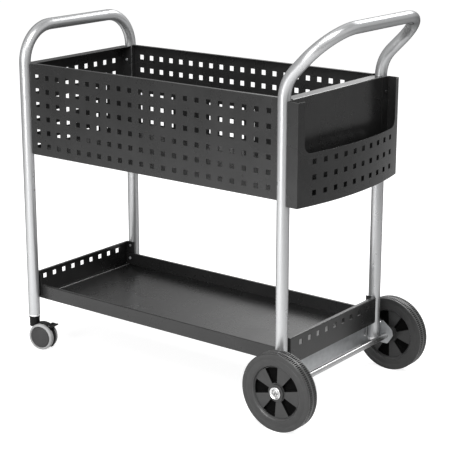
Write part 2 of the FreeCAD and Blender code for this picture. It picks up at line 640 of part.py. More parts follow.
for side, sign in SIDES:
    base = "%d * post_half" % sign
    name = "caster_%s_" % side
    swivel = {"x": "front_x", "y": base, "yaw": num("caster_turn")}
    frame = new_body(name + "body", **swivel)
    pad(frame, outline(new_sketch(frame, "XZ_Plane"), web_points, web_arcs), "2 * web_half", both=True)
    pad(frame, outline(new_sketch(frame, "XZ_Plane"), hood_points, hood_arcs), "2 * hood_half", both=True)
    boss = circle(new_sketch(frame, "XZ_Plane"), "caster_trail + pedal_x", "caster_r + pedal_z", "5")
    pad(frame, boss, "2 * web_half", both=True)
    neck = circle(new_sketch(frame, "XY_Plane", "neck_low"), "0", "0", "neck_r")
    pad(frame, neck, "neck_top - neck_low")
    for lift in ("web_half", "-pedal_half - web_half"):
        clear = circle(new_sketch(frame, "XZ_Plane", "(%s) + pedal_half" % lift), wheel_mid, "caster_r",
                       "hood_in")
        pocket(frame, clear, "pedal_half")
    stem_hole = circle(new_sketch(frame, "XY_Plane", "neck_top"), "0", "0", "stem_r")
    pocket(frame, stem_hole, "20")
    for x, z, radius in ((wheel_mid, "caster_r", "pin_r"),
                         ("caster_trail + pedal_x", "caster_r + pedal_z", "pedal_pin_r")):
        pin_hole = circle(new_sketch(frame, "XZ_Plane"), x, z, radius)
        pocket(frame, pin_hole, "4 * pedal_half", both=True)
    nodes.append(frame)
    stem = new_body(name + "stem", **swivel)
    pad(stem, circle(new_sketch(stem, "XY_Plane", "neck_top - 20"), "0", "0", "stem_r"),
        "stem_top - neck_top + 20")
    nodes.append(stem)
    pins = (("axle_pin", wheel_mid, "caster_r", "pin_r", "2 * (caster_in + caster_w) - 5"),
            ("pedal_pin", "caster_trail + pedal_x", "caster_r + pedal_z", "pedal_pin_r",
             "2 * pedal_half - 4"))
    for label, x, z, radius, long in pins:
        pin = new_body(name + label, **swivel)
        pad(pin, circle(new_sketch(pin, "XZ_Plane"), x, z, radius), long, both=True)
        nodes.append(pin)
    pedal = new_body(name + "pedal", **swivel)
    pad(pedal, outline(new_sketch(pedal, "XZ_Plane"), pedal_points), "2 * pedal_half", both=True)
    slot = box_points("caster_trail + pedal_x - 6", "caster_r + pedal_z - 6", "13", "12")
    pocket(pedal, outline(new_sketch(pedal, "XZ_Plane"), slot), "2 * caster_in", both=True)
    pivot = circle(new_sketch(pedal, "XZ_Plane"), "caster_trail + pedal_x", "caster_r + pedal_z",
                   "pedal_pin_r + run_gap")
    pocket(pedal, pivot, "4 * pedal_half", both=True)
    nodes.append(pedal)
    for which, way in (("inner", -sign), ("outer", sign)):
        ahead = "caster_trail * cos(caster_turn * 1deg) - (%d) * caster_in * sin(caster_turn * 1deg)" % way
        across = "caster_trail * sin(caster_turn * 1deg) + (%d) * caster_in * cos(caster_turn * 1deg)" % way
        spot = ("front_x + " + ahead, base + " + " + across, "caster_r", -90 * way, num("caster_turn"))
        tread = new_body(name + which + "_tread", *spot)
        turned(tread, tread_points, tread_arcs)
        nodes.append(tread)
        disc = new_body(name + which + "_disc", *spot)
        turned(disc, disc_points)
        nodes.append(disc)

# Sockets in the feet of the front posts, and the fasteners, as groups of separate solids.
socket = new_body("socket_pattern")
plug = "tube_r - tube_wall - run_gap"
turned(socket, [("stem_r + run_gap", "-4"), ("tube_r", "-4"), ("tube_r", "-fit_gap"),
                (plug, "-fit_gap"), (plug, "stem_top - front_low + 6"),
                ("stem_r + run_gap", "stem_top - front_low + 6")])
screw = new_body("screw_pattern")
turned(screw, [("0", "-7"), ("2.1", "-7"), ("2.1", "0"), ("4.6", "0"), ("4.6", "0.8"),
               ("2.6", "2.4"), ("0", "2.4")])
rivet = new_body("rivet_pattern")
turned(rivet, [("0", "-bracket_t - 1.4"), ("2", "-bracket_t - 1.4"), ("3.2", "-bracket_t"),
               ("1.9", "-bracket_t"), ("1.9", "0"), ("3.2", "0"), ("2", "1.4"), ("0", "1.4")])
doc.recompute()

nodes.append(group("stem_sockets", socket.Shape, [
    (("front_x", "%d * post_half" % s, "front_low"), (0, 0, 1)) for name, s in SIDES]))
nodes.append(group("axle_spacers", spacer.Shape, [
    (("axle_x", "%d * (ear_y + bracket_t + fit_gap / 3)" % s, "wheel_r"), (0, s, 0)) for name, s in SIDES]))
posts = [(x, s) for x in ("front_x", "rear_x") for name, s in SIDES]
flange_in = "end_half - sheet_t"
screw_rows = (("basket_screws", ((flange_in, "610"), (flange_in, "780"))),
              ("shelf_screws", ((shelf_inner, "165"), (flange_in, "205"))))
for label, rows in screw_rows:
    nodes.append(group(label, screw.Shape, [
        ((x, "%d * (%s)" % (s, seat), z), (0, -s, 0)) for x, s in posts for seat, z in rows]))
nodes.append(group("pocket_screws", screw.Shape, [
    (("rear_x + pocket_back + sheet_t", "%d * post_half" % s, z), (1, 0, 0))
    for name, s in SIDES for z in ("600", "780")]))
nodes.append(group("bracket_screws", screw.Shape, [
    (("rear_x", "%d * (ear_y + bracket_t)" % s, z), (0, s, 0))
    for name, s in SIDES for z in ("108", "132")]))
ear_rivets = [(("rear_x + 11", "%d * (ear_y + bracket_t)" % s, "137"), (0, s, 0)) for name, s in SIDES]
web_rivets = [((web_x + " + bracket_t", "%d * (relief_y - 6)" % s, "103"), (1, 0, 0)) for name, s in SIDES]
nodes.append(group("bracket_rivets", rivet.Shape, ear_rivets + web_rivets))

doc.recompute()
for item in doc.Objects:
    if "Invalid" in item.State or "Error" in item.State:
        raise RuntimeError("%s failed: %s" % (item.Label, item.State))
os.makedirs("parts", exist_ok=True)
for node in nodes:
    if node.Shape.isNull() or not node.Shape.isValid():
        raise RuntimeError("bad shape: " + node.Label)
    node.Shape.exportStep("parts/%s.step" % node.Label)
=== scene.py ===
import json
import math

import bmesh
import bpy
from mathutils import Matrix, Vector

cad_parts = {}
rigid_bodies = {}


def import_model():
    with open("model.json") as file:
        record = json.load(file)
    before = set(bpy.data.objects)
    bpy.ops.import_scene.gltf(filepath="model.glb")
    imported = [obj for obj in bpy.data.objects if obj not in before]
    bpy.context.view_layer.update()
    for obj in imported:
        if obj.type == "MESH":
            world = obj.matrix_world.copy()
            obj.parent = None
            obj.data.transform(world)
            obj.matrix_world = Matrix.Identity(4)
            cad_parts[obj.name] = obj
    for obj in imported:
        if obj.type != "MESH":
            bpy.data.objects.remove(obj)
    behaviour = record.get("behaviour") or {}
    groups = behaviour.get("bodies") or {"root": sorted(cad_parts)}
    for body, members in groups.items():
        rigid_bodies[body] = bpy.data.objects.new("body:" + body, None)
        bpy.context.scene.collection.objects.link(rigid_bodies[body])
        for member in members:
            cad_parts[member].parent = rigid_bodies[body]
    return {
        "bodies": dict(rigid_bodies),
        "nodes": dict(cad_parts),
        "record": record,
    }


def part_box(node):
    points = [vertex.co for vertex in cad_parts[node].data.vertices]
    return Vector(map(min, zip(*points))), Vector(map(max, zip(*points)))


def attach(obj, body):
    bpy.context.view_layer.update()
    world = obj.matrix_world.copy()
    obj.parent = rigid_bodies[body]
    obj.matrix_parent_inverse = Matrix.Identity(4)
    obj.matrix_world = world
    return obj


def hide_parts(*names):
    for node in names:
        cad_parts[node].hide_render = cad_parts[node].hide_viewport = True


# Looks of the mail cart: a finish for every CAD node, ribbed tread on the rear tyres, pressed axle
# caps and cross-recess screw heads. Metres, in the frame of the CAD model.

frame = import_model()
NODES = frame["nodes"]
carried = list(NODES.values()) + list(frame["bodies"].values())
for extra in [o for o in bpy.context.scene.objects if o not in carried]:
    bpy.data.objects.remove(extra)
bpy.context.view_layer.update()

SIDES = ("left", "right")
MM = 0.001
TUBE_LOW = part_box("front_frame_tube")[0]
ROD_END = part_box("axle_rod")[1].y
wheel_low, wheel_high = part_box("rear_wheel_right_tyre")
AXLE = (wheel_low + wheel_high) / 2
WHEEL_R = (wheel_high.z - wheel_low.z) / 2


# Materials

# Each finish: its greys from dark to light, its roughness from low to high, and how warm it is.
LOOKS = {
    "frame_silver": ((0.51, 0.60), (0.27, 0.31), -0.01),
    "panel_black": ((0.016, 0.021), (0.26, 0.30), 0),
    "bracket_zinc": ((0.45, 0.52), (0.46, 0.56), -0.02),
    "bright_steel": ((0.70, 0.80), (0.14, 0.24), 0),
    "axle_steel": ((0.44, 0.52), (0.27, 0.32), 0),
    # Pale finish of the shelf foot's edge: a painted highlight.
    "edge_highlight": ((0.58, 0.70), (0.45, 0.60), 0),
    "tyre_grey": ((0.027, 0.034), (0.30, 0.36), 0),
    "hub_grey": ((0.026, 0.033), (0.32, 0.40), 0),
    # Near-black finish of the hub's gaps: painted shade.
    "hub_gap_shade": ((0.003, 0.004), (0.85, 0.95), 0),
    "caster_black": ((0.004, 0.007), (0.36, 0.46), 0),
    "caster_tread": ((0.38, 0.44), (0.52, 0.64), 0),
    "caster_disc": ((0.025, 0.032), (0.46, 0.56), 0),
}
# Noise factors at which a roughness range and a colour range reach their ends.
ROUGH_SPAN = (0.3, 0.7)
TINT_SPAN = (0.35, 0.65)


def feed(tree, socket, value):
    """Set a socket, or link it when the value is an output."""
    if isinstance(value, bpy.types.NodeSocket):
        tree.links.new(value, socket)
    else:
        socket.default_value = value


def add_node(tree, kind, **inputs):
    """New node; an input is a value or another node's output."""
    node = tree.nodes.new(kind)
    for name, value in inputs.items():
        feed(tree, node.inputs[name.replace("_", " ")], value)
    return node


def operate(tree, kind, operation, first, second):
    """Value of a two-input operation."""
    node = tree.nodes.new(kind)
    node.operation = operation
    feed(tree, node.inputs[0], first)
    feed(tree, node.inputs[1], second)
    return node.outputs["Value"]


def slope(tree, value, start, stop, low=0.0, high=1.0):
    """Value taken from the span start to stop into the span low to high, and held at its ends."""
    node = add_node(tree, "ShaderNodeMapRange", Value=value, From_Min=start, From_Max=stop, To_Min=low,
                    To_Max=high)
    return node.outputs["Result"]


def grey(level, warm=0.0):
    """Opaque neutral colour, a little warm or cool."""
    return (level * (1 + warm), level, level * (1 - warm), 1)


class Finish:
    """Principled material; its detail comes from textures in the piece's own coordinates."""

    def __init__(self, name, **fixed):
        self.greys, self.roughness, self.warm = LOOKS[name]
        self.material = bpy.data.materials.new(name)
        self.material.use_nodes = True
        self.tree = self.material.node_tree
        self.shader = self.tree.nodes["Principled BSDF"]
        for socket, value in fixed.items():
            self.shader.inputs[socket.replace("_", " ")].default_value = value
        self.place = add_node(self.tree, "ShaderNodeTexCoord").outputs["Object"]

    def axes(self):
        """The place's X, Y and Z."""
        return add_node(self.tree, "ShaderNodeSeparateXYZ", Vector=self.place).outputs

    def noise(self, size, detail=2.0, stretch=(1, 1, 1)):
        """Noise whose features are about this many metres across."""
        place = add_node(self.tree, "ShaderNodeMapping", Vector=self.place, Scale=stretch)
        return add_node(self.tree, "ShaderNodeTexNoise", Vector=place.outputs["Vector"], Scale=1 / size,
                        Detail=detail).outputs["Fac"]

    def satin(self, factor):
        """Roughness between the finish's low and high by a noise factor."""
        return slope(self.tree, factor, *ROUGH_SPAN, *self.roughness)

    def tint(self, factor, greys=None):
        """Colour between two greys, the finish's own unless others are given, by a noise factor."""
        ramp = add_node(self.tree, "ShaderNodeValToRGB", Fac=factor)
        for stop, place, level in zip(ramp.color_ramp.elements, TINT_SPAN, greys or self.greys):
            stop.position = place
            stop.color = grey(level, self.warm)
        return ramp.outputs["Color"]

    def calc(self, operation, first, second=0.0):
        """Result of a two-value operation."""
        return operate(self.tree, "ShaderNodeMath", operation, first, second)

    def mix(self, factor, first, second):
        """Colour that runs from the first to the second as the factor goes from 0 to 1."""
        node = add_node(self.tree, "ShaderNodeMix")
        node.data_type = "RGBA"
        factor_socket, colour_sockets = node.inputs[0], node.inputs[6:8]
        for socket, value in zip((factor_socket, *colour_sockets), (factor, first, second)):
            feed(self.tree, socket, value)
        return node.outputs[2]

    def bump(self, *layers):
        """Relief from (height, strength, depth in metres) layers, fed to the shader."""
        normal = None
        for height, strength, depth in layers:
            node = add_node(self.tree, "ShaderNodeBump", Height=height, Strength=strength,
                            Distance=depth)
            if normal:
                feed(self.tree, node.inputs["Normal"], normal)
            normal = node.outputs["Normal"]
        feed(self.tree, self.shader.inputs["Normal"], normal)

    def colour(self, value):
        feed(self.tree, self.shader.inputs["Base Color"], value)

    def rough(self, value):
        feed(self.tree, self.shader.inputs["Roughness"], value)

    def wheel_reach(self):
        """Distance from the rear axle."""
        axes = self.axes()
        ahead = self.calc("SUBTRACT", axes["X"], AXLE.x)
        above = self.calc("SUBTRACT", axes["Z"], AXLE.z)
        squares = [self.calc("MULTIPLY", way, way) for way in (ahead, above)]
        return self.calc("SQRT", self.calc("ADD", *squares))

    def wheel_inset(self):
        """Distance from the middle plane of the nearer rear wheel."""
        side = self.calc("ABSOLUTE", self.axes()["Y"])
        return self.calc("ABSOLUTE", self.calc("SUBTRACT", side, AXLE.y))


BARE_FOOT = 3.5 * MM
BARE_GREY = 0.97


def silver_powder_coat():
    """Satin silver paint with fine flake and a slight orange peel; the tube's cut foot is bare."""
    finish = Finish("frame_silver", Metallic=0.7, Specular_IOR_Level=0.0, Specular_Tint=grey(0.0))
    flake = finish.noise(0.35 * MM, detail=1.0)
    bare = finish.calc("LESS_THAN", finish.axes()["Z"], TUBE_LOW.z + BARE_FOOT)
    finish.colour(finish.mix(bare, finish.tint(flake), grey(BARE_GREY)))
    finish.rough(finish.satin(finish.noise(40 * MM, detail=3.0)))
    finish.bump((finish.noise(2.2 * MM), 0.03, 0.1 * MM), (flake, 0.01, 0.02 * MM))
    return finish.material


def black_powder_coat():
    """Charcoal paint on folded sheet: fine even texture and faint handling marks."""
    finish = Finish("panel_black")
    finish.colour(finish.tint(finish.noise(60 * MM, detail=4.0)))
    finish.rough(finish.satin(finish.noise(90 * MM, detail=4.0)))
    finish.bump((finish.noise(0.8 * MM, detail=2.0), 0.02, 0.02 * MM))
    return finish.material


def zinc_plate():
    """Plated steel plate with a faint rolled grain and cloudy spangle."""
    finish = Finish("bracket_zinc", Metallic=1.0)
    cloud = finish.noise(14 * MM, detail=3.0)
    finish.colour(finish.tint(cloud))
    finish.rough(finish.satin(cloud))
    finish.bump((finish.noise(0.8 * MM, detail=2.0, stretch=(8, 1, 8)), 0.08, 0.1 * MM))
    return finish.material


def bright_plate():
    """Bright plated caps and fasteners with fine turning lines."""
    finish = Finish("bright_steel", Metallic=1.0, Specular_Tint=grey(0.0))
    finish.colour(finish.tint(finish.noise(6 * MM, detail=3.0)))
    finish.rough(finish.satin(finish.noise(9 * MM, detail=3.0)))
    finish.bump((finish.noise(0.5 * MM, detail=2.0, stretch=(1, 6, 1)), 0.05, 0.05 * MM))
    return finish.material


SAWN_DEPTH = 1 * MM
SAWN_GREYS = (0.14, 0.66)


def satin_axle():
    """Satin axle rod with blotchy sawn ends."""
    finish = Finish("axle_steel", Metallic=1.0)
    side = finish.calc("ABSOLUTE", finish.axes()["Y"])
    sawn = finish.calc("GREATER_THAN", side, ROD_END - SAWN_DEPTH)
    steel = finish.tint(finish.noise(6 * MM, detail=3.0))
    end = finish.tint(finish.noise(4 * MM, detail=1.0), SAWN_GREYS)
    finish.colour(finish.mix(sawn, steel, end))
    finish.rough(finish.satin(finish.noise(9 * MM, detail=3.0)))
    finish.bump((finish.noise(0.5 * MM, detail=2.0, stretch=(1, 6, 1)), 0.02, 0.02 * MM))
    return finish.material


def edge_highlight():
    """Pale colour on a sheet's sheared edge, a painted highlight; the edge is finely scored by the
    shear.
    """
    finish = Finish("edge_highlight")
    finish.colour(finish.tint(finish.noise(5 * MM, detail=3.0)))
    finish.rough(finish.satin(finish.noise(8 * MM, detail=3.0)))
    finish.bump((finish.noise(0.4 * MM, detail=2.0, stretch=(1, 6, 1)), 0.2, 0.05 * MM))
    return finish.material


def moulded(name, grain, depth, shine=0.5):
    """Moulded rubber or plastic: the size and depth of its fine surface grain, and its shine."""
    finish = Finish(name, Specular_IOR_Level=shine)
    finish.colour(finish.tint(finish.noise(18 * MM, detail=4.0)))
    finish.rough(finish.satin(finish.noise(25 * MM, detail=3.0)))
    finish.bump((finish.noise(grain, detail=3.0), 0.2, depth))
    return finish.material


# Zones of the rear wheels, out from the axle, down from the tread or off the wheel's middle plane.
TREAD_FROM = 90 * MM
TREAD_HALF = 16.2 * MM
SHOULDER_FROM = 13.4 * MM
DISH_TO = 71 * MM
GROOVE_FROM, GROOVE_FULL = 0.5 * MM, 1.8 * MM
GAP_TO, SPOKE_FROM = 10.7 * MM, 11.3 * MM
# Greys of the tread, its shoulder and the dished wall, painted lighter as highlights, and of the
# grooves and the hub's gaps, painted near black as shade.
TREAD_HIGHLIGHT, SHOULDER_HIGHLIGHT, DISH_HIGHLIGHT, GROOVE_SHADE, GAP_SHADE = 0.085, 0.17, 0.075, 0.004, 0.003
DULL = 0.95


def grooved_tyre():
    """Tyre rubber: satin where it stands proud and dull down in the grooves of the tread; painted shade
    darkens the grooves, and painted highlights lighten the tread, its shoulder and the dished wall.
    """
    finish = Finish("tyre_grey")
    reach = finish.wheel_reach()
    inset = finish.wheel_inset()
    sunk = slope(finish.tree, reach, WHEEL_R - GROOVE_FULL, WHEEL_R - GROOVE_FROM, 1.0, 0.0)
    tread = finish.calc("MULTIPLY", finish.calc("LESS_THAN", inset, TREAD_HALF),
                        finish.calc("GREATER_THAN", reach, TREAD_FROM))
    shoulder = finish.calc("MULTIPLY", tread, finish.calc("GREATER_THAN", inset, SHOULDER_FROM))
    dish = finish.calc("LESS_THAN", reach, DISH_TO)
    # The grooves of the tread are painted near black as shade.
    groove = finish.calc("MULTIPLY", sunk, tread)
    shade = finish.tint(finish.noise(18 * MM, detail=4.0))
    # The tread, its shoulder and the dished wall are painted lighter as highlights.
    for zone, level in ((tread, TREAD_HIGHLIGHT), (shoulder, SHOULDER_HIGHLIGHT), (dish, DISH_HIGHLIGHT), (groove, GROOVE_SHADE)):
        shade = finish.mix(zone, shade, grey(level))
    finish.colour(shade)
    satin = finish.satin(finish.noise(25 * MM, detail=3.0))
    finish.rough(slope(finish.tree, groove, 0, 1, satin, DULL))
    finish.bump((finish.noise(0.9 * MM, detail=3.0), 0.2, 0.05 * MM))
    return finish.material


def ribbed_hub():
    """Moulded hub: satin spokes, and dull gaps between them near the middle plane, painted near black
    as shade.
    """
    finish = Finish("hub_grey")
    spoke = slope(finish.tree, finish.wheel_inset(), GAP_TO, SPOKE_FROM)
    shade = finish.tint(finish.noise(18 * MM, detail=4.0))
    # The gaps between the spokes are painted near black as shade.
    finish.colour(finish.mix(spoke, grey(GAP_SHADE), shade))
    satin = finish.satin(finish.noise(25 * MM, detail=3.0))
    finish.rough(slope(finish.tree, spoke, 0, 1, DULL, satin))
    finish.bump((finish.noise(0.7 * MM, detail=3.0), 0.2, 0.12 * MM))
    return finish.material


FINISHES = {
    "frame_silver": silver_powder_coat(),
    "panel_black": black_powder_coat(),
    "bracket_zinc": zinc_plate(),
    "bright_steel": bright_plate(),
    "tyre_grey": grooved_tyre(),
    "hub_grey": ribbed_hub(),
    "caster_black": moulded("caster_black", grain=0.7 * MM, depth=0.1 * MM, shine=0.15),
    "caster_tread": moulded("caster_tread", grain=0.8 * MM, depth=0.15 * MM),
    "caster_disc": moulded("caster_disc", grain=0.7 * MM, depth=0.12 * MM),
}
for part in frame["record"]["subparts"]:
    materials = NODES[part["node"]].data.materials
    materials.clear()
    materials.append(FINISHES[part["material_slot"]])
NODES["axle_rod"].data.materials[0] = satin_axle()


def second_finish(node, material, chosen):
    """Another finish on those faces of a CAD node that are chosen."""
    mesh = NODES[node].data
    mesh.materials.append(material)
    for face in mesh.polygons:
        if chosen(face):
            face.material_index = 1


def in_hub_gap(face):
    return abs(abs(face.center.y) - AXLE.y) < GAP_TO


FOOT_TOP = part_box("shelf_end_front")[0].z + 2 * MM
FOOT_BACK = TUBE_LOW.x + 20 * MM
STRAIGHT = 0.99


def on_shelf_foot(face):
    return face.normal.x > STRAIGHT and face.center.z < FOOT_TOP and face.center.x < FOOT_BACK


# Near-black finish on the faces in the hub's gaps: painted shade between the spokes.
hub_gap_shade = moulded("hub_gap_shade", grain=0.7 * MM, depth=0.12 * MM, shine=0.08)
for side in SIDES:
    second_finish("rear_wheel_%s_hub" % side, hub_gap_shade, in_hub_gap)
# The front edge of the shelf foot is painted pale as a highlight.
second_finish("shelf_end_front", edge_highlight(), on_shelf_foot)


# Edges of CAD nodes

SHEETS = ("basket_side_left", "basket_side_right", "basket_end_front", "basket_end_rear", "shelf_tray",
          "shelf_end_front", "shelf_end_rear", "document_pocket", "axle_bracket")
SHEET_EDGE = 0.35 * MM
HUB_EDGE = 0.9 * MM
SAME_POINT = 0.002 * MM
SAME_PLANE = math.radians(0.5)
SHARP = math.radians(35)


def soften(node, width, finish=-1):
    """Small rounded edges on a CAD node, so that they catch the light; -1 keeps the faces' finish."""
    obj = NODES[node]
    weld = obj.modifiers.new("weld", "WELD")
    weld.merge_threshold = SAME_POINT
    flats = obj.modifiers.new("flats", "DECIMATE")
    flats.decimate_type = "DISSOLVE"
    flats.angle_limit = SAME_PLANE
    bevel = obj.modifiers.new("edges", "BEVEL")
    bevel.width = width
    bevel.segments = 2
    bevel.limit_method = "ANGLE"
    bevel.angle_limit = SHARP
    bevel.material = finish
    normals = obj.modifiers.new("normals", "WEIGHTED_NORMAL")
    normals.keep_sharp = False


for sheet in SHEETS:
    soften(sheet, SHEET_EDGE)
for side in SIDES:
    soften("rear_wheel_%s_hub" % side, HUB_EDGE, finish=0)


# Pieces that take the place of CAD nodes

def new_piece(name, mesh, slot, body, nodes):
    """Object for a mesh made in place, riding on a body in the stead of its CAD nodes."""
    mesh.materials.append(FINISHES[slot])
    obj = bpy.data.objects.new(name, mesh)
    bpy.context.scene.collection.objects.link(obj)
    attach(obj, body)
    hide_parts(*nodes)


def ring_mesh(name, profile, steps, height):
    """Closed ring about +Z. The profile is a loop of (radius, z); height(i, step) lowers point i."""
    mesh = bmesh.new()
    loops = []
    for step, angle in enumerate(steps):
        loop = []
        for i, (radius, z) in enumerate(profile):
            reach = radius - height(i, step)
            loop.append(mesh.verts.new((reach * math.cos(angle), reach * math.sin(angle), z)))
        loops.append(loop)
    for here, after in zip(loops, loops[1:] + loops[:1]):
        for i in range(len(profile)):
            j = (i + 1) % len(profile)
            mesh.faces.new((here[i], after[i], after[j], here[j]))
    made = bpy.data.meshes.new(name)
    bmesh.ops.recalc_face_normals(mesh, faces=mesh.faces)
    mesh.to_mesh(made)
    mesh.free()
    return made


def smooth_by_angle(mesh, limit):
    """Smooth shading with edges sharper than the limit, in degrees, kept crisp."""
    mesh.shade_smooth()
    mesh.set_sharp_from_angle(angle=math.radians(limit))


def arc(centre, radius, start, stop, count):
    """Points on an arc in the profile plane, in degrees."""
    turns = [math.radians(start + (stop - start) * i / count) for i in range(count + 1)]
    return [(centre[0] + radius * math.cos(t), centre[1] + radius * math.sin(t)) for t in turns]


def wheel_place(node, sign):
    """Frame at the inner face of a rear wheel piece, its +Z pointing away from the cart."""
    low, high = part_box(node)
    middle = (low + high) / 2
    face = high.y if sign < 0 else low.y
    return Matrix.Translation((middle.x, face, middle.z)) @ Matrix.Rotation(-sign * math.pi / 2, 4, "X")


TYRE_HOLE = 67 * MM
SHOULDER = 2 * MM
PLAIN_EDGE = 3 * MM
RIBS = 116
RIB_BAND = 12.5 * MM
RIB_DEPTH = 2.6 * MM
RIB_DROP = 0.2 * MM
RIB_WALL = 0.2 * MM
RIB_GAP = 0.5 * MM
# Parts of a pitch at which a rib's flanks start and end: groove, top, top, groove.
RIB_CUTS = (0.0, 0.06, 0.44, 0.50)
GROOVE_CUTS = (0, 3)
# Dished inner wall of the tyre: millimetres outward from the hub and down from the tyre's face.
LIP = ((0, 7.6), (2.9, 2.0), (3.5, 1.1), (4.3, 0.45), (5.2, 0.1), (6.2, 0))
# Fine line moulded in the tyre's face: millimetres in from the tread and down from the face.
FACE_LINE = ((14, 0), (13, 0.3), (12, 0))


def ribbed_tyre(side, sign):
    """Rear tyre: dished inner walls, crisp shoulders and two bands of fine cross ribs."""
    node = "rear_wheel_%s_tyre" % side
    low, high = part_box(node)
    radius = (high.z - low.z) / 2
    width = high.y - low.y
    groove = radius - RIB_DEPTH
    crown = radius - RIB_DROP
    band_end = PLAIN_EDGE + RIB_BAND
    half = [(TYRE_HOLE + out * MM, deep * MM) for out, deep in LIP]
    half += [(radius - back * MM, deep * MM) for back, deep in FACE_LINE]
    half += arc((radius - SHOULDER, SHOULDER), SHOULDER, start=-90, stop=0, count=5)
    half += [(radius, PLAIN_EDGE), (groove, PLAIN_EDGE + RIB_WALL)]
    ribbed = [len(half), len(half) + 1]
    half += [(crown, PLAIN_EDGE + RIB_GAP), (crown, band_end - RIB_GAP)]
    half += [(groove, band_end - RIB_WALL), (radius, band_end)]
    loop = half + [(reach, width - z) for reach, z in reversed(half)]
    ribbed += [len(loop) - 1 - i for i in ribbed]
    steps = [2 * math.pi * (k + cut) / RIBS for k in range(RIBS) for cut in RIB_CUTS]

    def height(i, step):
        grooved = step % len(RIB_CUTS) in GROOVE_CUTS
        return RIB_DEPTH - RIB_DROP if i in ribbed and grooved else 0

    mesh = ring_mesh("rear_wheel_%s_ribbed_tyre" % side, loop, steps, height)
    smooth_by_angle(mesh, limit=30)
    mesh.transform(wheel_place(node, sign))
    new_piece(mesh.name, mesh, "tyre_grey", "rear_wheel_%s" % side, [node])


CAP_STEPS = 144
CAP_HOLE = 8.05 * MM
CAP_BASE = 0.2 * MM
CAP_ROLL = 1.5 * MM
# Dish and collar of the cap: millimetres in from the rim, and up from its foot or down from its top.
CAP_DISH = ((3.0, 2.4), (4.2, 1.8), (5.2, 2.0))
CAP_COLLAR = ((5.9, 0.3), (6.5, 0))
MOUTH_DROP = 0.5 * MM
TEETH = 6
TOOTH_GAP = 0.25
TOOTH_DEPTH = 1.2 * MM


def axle_cap(side, sign):
    """Pressed cap: rolled rim, dished flange and a toothed collar around the axle end."""
    node = "rear_wheel_%s_cap" % side
    low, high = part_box(node)
    rim = (high.z - low.z) / 2
    tall = high.y - low.y
    loop = [(CAP_HOLE, CAP_BASE)]
    loop += arc((rim - CAP_ROLL, CAP_ROLL), CAP_ROLL, start=-90, stop=90, count=8)
    loop += [(rim - back * MM, up * MM) for back, up in CAP_DISH]
    loop += [(rim - back * MM, tall - down * MM) for back, down in CAP_COLLAR]
    loop += [(CAP_HOLE, tall - MOUTH_DROP)]
    toothed = (0, len(loop) - 1)
    steps = [2 * math.pi * k / CAP_STEPS for k in range(CAP_STEPS)]

    def height(i, step):
        slotted = (step * TEETH / CAP_STEPS) % 1 < TOOTH_GAP
        return -TOOTH_DEPTH if slotted and i in toothed else 0

    mesh = ring_mesh("rear_wheel_%s_pressed_cap" % side, loop, steps, height)
    smooth_by_angle(mesh, limit=28)
    mesh.transform(wheel_place(node, sign))
    new_piece(mesh.name, mesh, "bright_steel", "cart", [node])


for side, sign in zip(SIDES, (-1, 1)):
    ribbed_tyre(side, sign)
    axle_cap(side, sign)


HEAD_R = 4.6 * MM
HEAD_TALL = 2.4 * MM
HEAD_STEPS = 40
# Shares of the head's height and radius: its straight wall, and the recess's arms, foot and mouth.
HEAD_WALL = 0.3
ARM_LONG, ARM_HALF = 0.52, 0.13
RECESS_FOOT, RECESS_MOUTH = (0.6, 0.35), (1.1, 1.2)
DOME_TURNS = (0.35, 0.7, 1.05, 1.35)


def bridge(mesh, under, over):
    """Faces between two closed loops of as many points."""
    for k in range(len(under)):
        after = (k + 1) % len(under)
        mesh.faces.new((under[k], under[after], over[after], over[k]))


def to_object(mesh, name):
    """Linked object for a finished bmesh."""
    made = bpy.data.meshes.new(name)
    mesh.to_mesh(made)
    mesh.free()
    obj = bpy.data.objects.new(name, made)
    bpy.context.scene.collection.objects.link(obj)
    return obj


def cross_head(radius, tall):
    """Domed screw head on z = 0 with a cross recess."""
    rise = [(radius, 0), (radius, HEAD_WALL * tall)]
    rise += [(radius * math.cos(t), tall * (HEAD_WALL + (1 - HEAD_WALL) * math.sin(t)))
             for t in DOME_TURNS]
    dome = bmesh.new()
    turns = [2 * math.pi * k / HEAD_STEPS for k in range(HEAD_STEPS)]
    loops = [[dome.verts.new((r * math.cos(t), r * math.sin(t), z)) for t in turns] for r, z in rise]
    for under, over in zip(loops, loops[1:]):
        bridge(dome, under, over)
    dome.faces.new(loops[-1])
    dome.faces.new(loops[0][::-1])
    arm, half = ARM_LONG * radius, ARM_HALF * radius
    cross = [(arm, half), (half, half), (half, arm), (-half, arm), (-half, half), (-arm, half),
             (-arm, -half), (-half, -half), (-half, -arm), (half, -arm), (half, -half), (arm, -half)]
    tool = bmesh.new()
    foot, mouth = [[tool.verts.new((wide * x, wide * y, high * tall)) for x, y in cross]
                   for wide, high in (RECESS_FOOT, RECESS_MOUTH)]
    bridge(tool, foot, mouth)
    tool.faces.new(foot[::-1])
    tool.faces.new(mouth)
    bmesh.ops.recalc_face_normals(tool, faces=tool.faces)
    head = to_object(dome, "screw_head")
    cutter = to_object(tool, "screw_recess")
    cut = head.modifiers.new("recess", "BOOLEAN")
    cut.object = cutter
    cut.solver = "EXACT"
    dented = head.evaluated_get(bpy.context.evaluated_depsgraph_get())
    made = bpy.data.meshes.new_from_object(dented)
    for obj in (head, cutter):
        bpy.data.objects.remove(obj)
    return made


def solids_of(node, reach):
    """Boxes of the separate solids of a grouped node that lie further apart than the reach."""
    boxes = []
    for point in (Vector(v.co) for v in NODES[node].data.vertices):
        for box in boxes:
            if (point - box[2]).length < reach:
                box[0] = Vector(map(min, box[0], point))
                box[1] = Vector(map(max, box[1], point))
                break
        else:
            boxes.append([point.copy(), point.copy(), point.copy()])
    return [(low, high) for low, high, first in boxes]


def inward(spot):
    return Vector((0, -math.copysign(1, spot.y), 0))


def outward(spot):
    return Vector((0, math.copysign(1, spot.y), 0))


def rearward(spot):
    return Vector((1, 0, 0))


